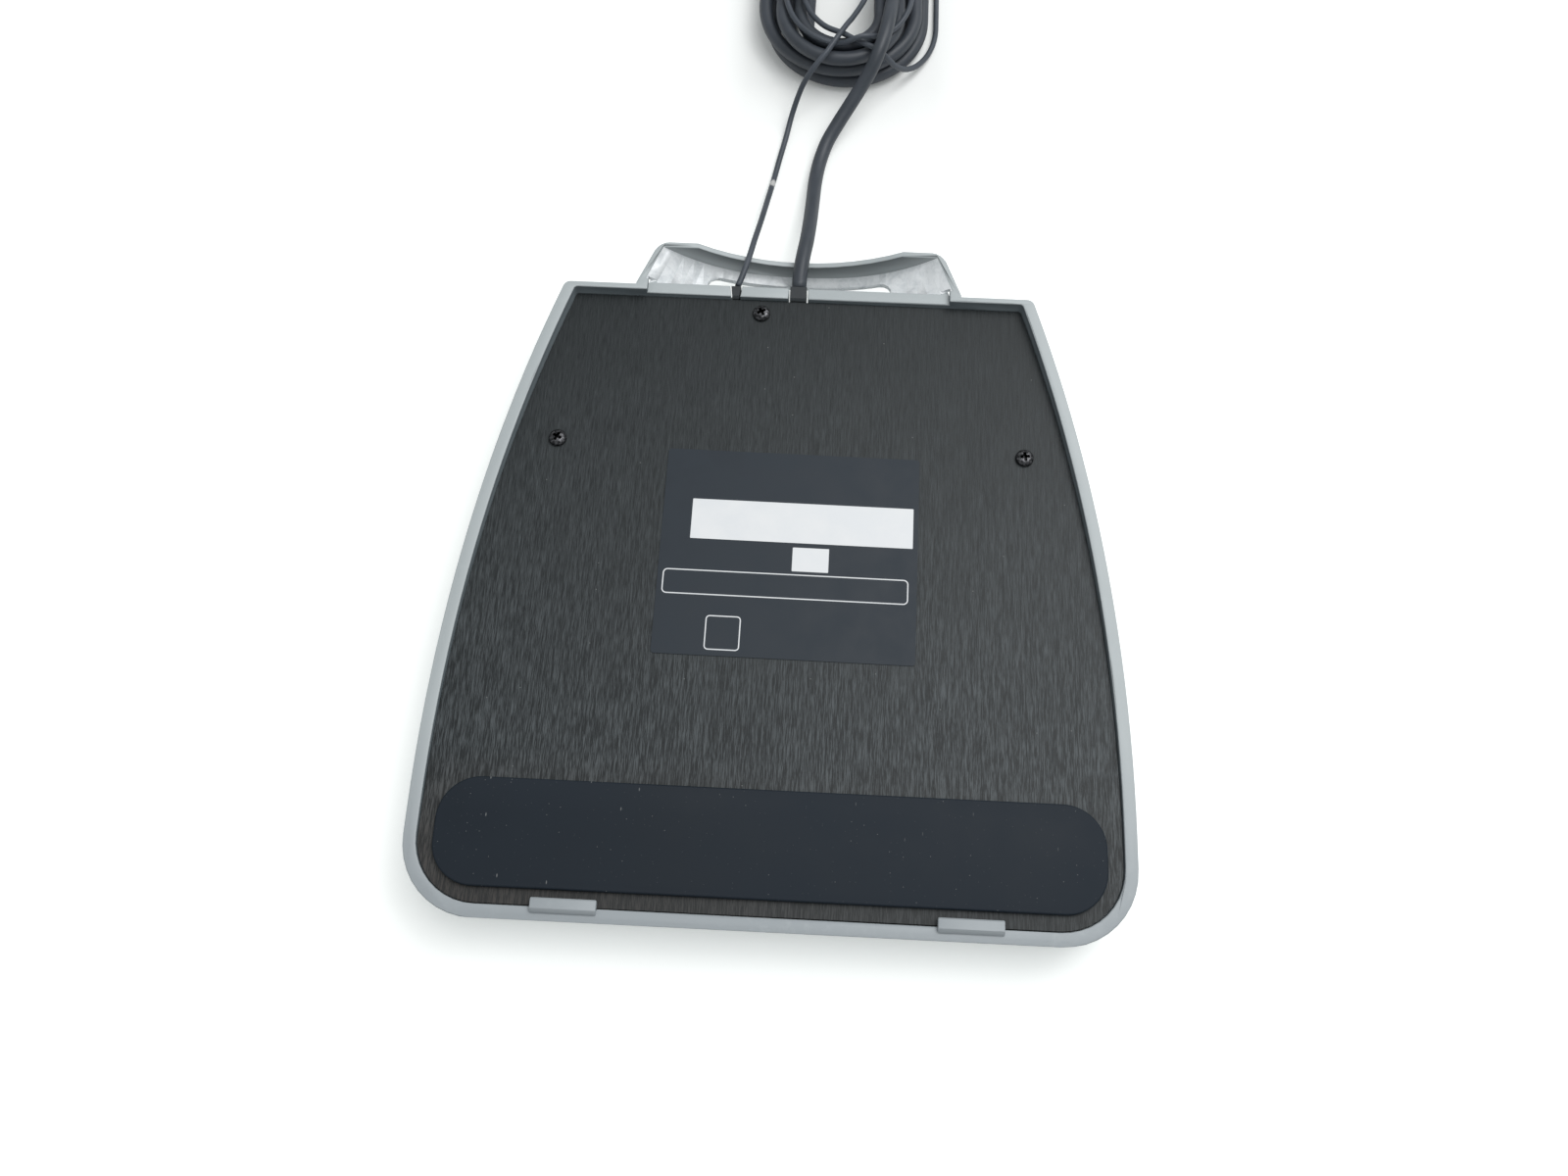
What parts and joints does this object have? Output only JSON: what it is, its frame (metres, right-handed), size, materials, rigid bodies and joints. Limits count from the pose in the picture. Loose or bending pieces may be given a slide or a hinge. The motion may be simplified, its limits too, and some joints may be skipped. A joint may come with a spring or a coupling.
{
  "type": "signature_pad",
  "caption": "Counter-top signature pad lying face down, with a metal base plate, a rubber foot, a stylus loop, a USB cable and a tethered stylus.",
  "frame": {"origin": "middle of the pad's outline on the plane of its face, which lies on the table", "axes": "+X to the right across the pad, seen from the underside with the palm edge near; +Y from the palm edge towards the loop and the cords; +Z out of the underside, up from the table"},
  "size_m": [0.168, 0.363, 0.0208],
  "materials": {
    "grey_housing": "lightly textured moulded grey plastic with a silver tone",
    "black_plate": "black painted sheet with brushed lines across",
    "black_rubber": "matte",
    "label_film": "dark film label with blank boxes",
    "black_screw": "blackened steel",
    "black_cable": "smooth satin jacket",
    "black_plastic": "fine texture",
    "clear_film": "hard-coated film",
    "grey_foam": "closed-cell foam",
    "sensor_glass": "coated glass",
    "bright_steel": "plated steel",
    "flex_film": "amber film",
    "green_board": "solder resist",
    "white_plastic": "moulded"
  },
  "bodies": {
    "pad": {"housing": "grey_housing", "base_plate": "black_plate", "rubber_foot": "black_rubber", "id_label": "label_film", "screw_back": "black_screw", "screw_left": "black_screw", "screw_right": "black_screw", "usb_strain_relief": "black_plastic", "usb_cable": "black_cable", "usb_coil": "black_cable", "usb_tail": "black_cable", "usb_inner_lead": "black_cable", "tether": "black_cable", "tether_coil": "black_cable", "tether_end": "black_cable", "tether_anchor": "black_plastic", "signing_overlay": "clear_film", "window_gasket": "grey_foam", "touch_sensor": "sensor_glass", "sensor_backer": "bright_steel", "backer_screw_1": "black_screw", "backer_screw_2": "black_screw", "backer_screw_3": "black_screw", "backer_screw_4": "black_screw", "sensor_tail": "flex_film", "tail_connector": "white_plastic", "controller_board": "green_board", "controller_chip": "black_plastic", "clock_crystal": "bright_steel", "board_screw_1": "black_screw", "board_screw_2": "black_screw", "board_screw_3": "black_screw", "board_screw_4": "black_screw", "cable_header": "white_plastic", "cable_clamp": "bright_steel", "clamp_screw_left": "black_screw", "clamp_screw_right": "black_screw", "usb_plug_body": "black_plastic", "usb_plug_shell": "bright_steel", "usb_plug_tongue": "white_plastic", "coil_tie": "black_plastic"},
    "stylus": {"stylus_barrel": "black_plastic", "stylus_tip": "black_plastic", "stylus_cap": "black_plastic"}
  },
  "joints": [
    {"name": "stylus_lift", "type": "slide", "parent": "pad", "child": "stylus", "axis": [0, 0, 1], "range_m": [0, 0.1]}
  ]
}
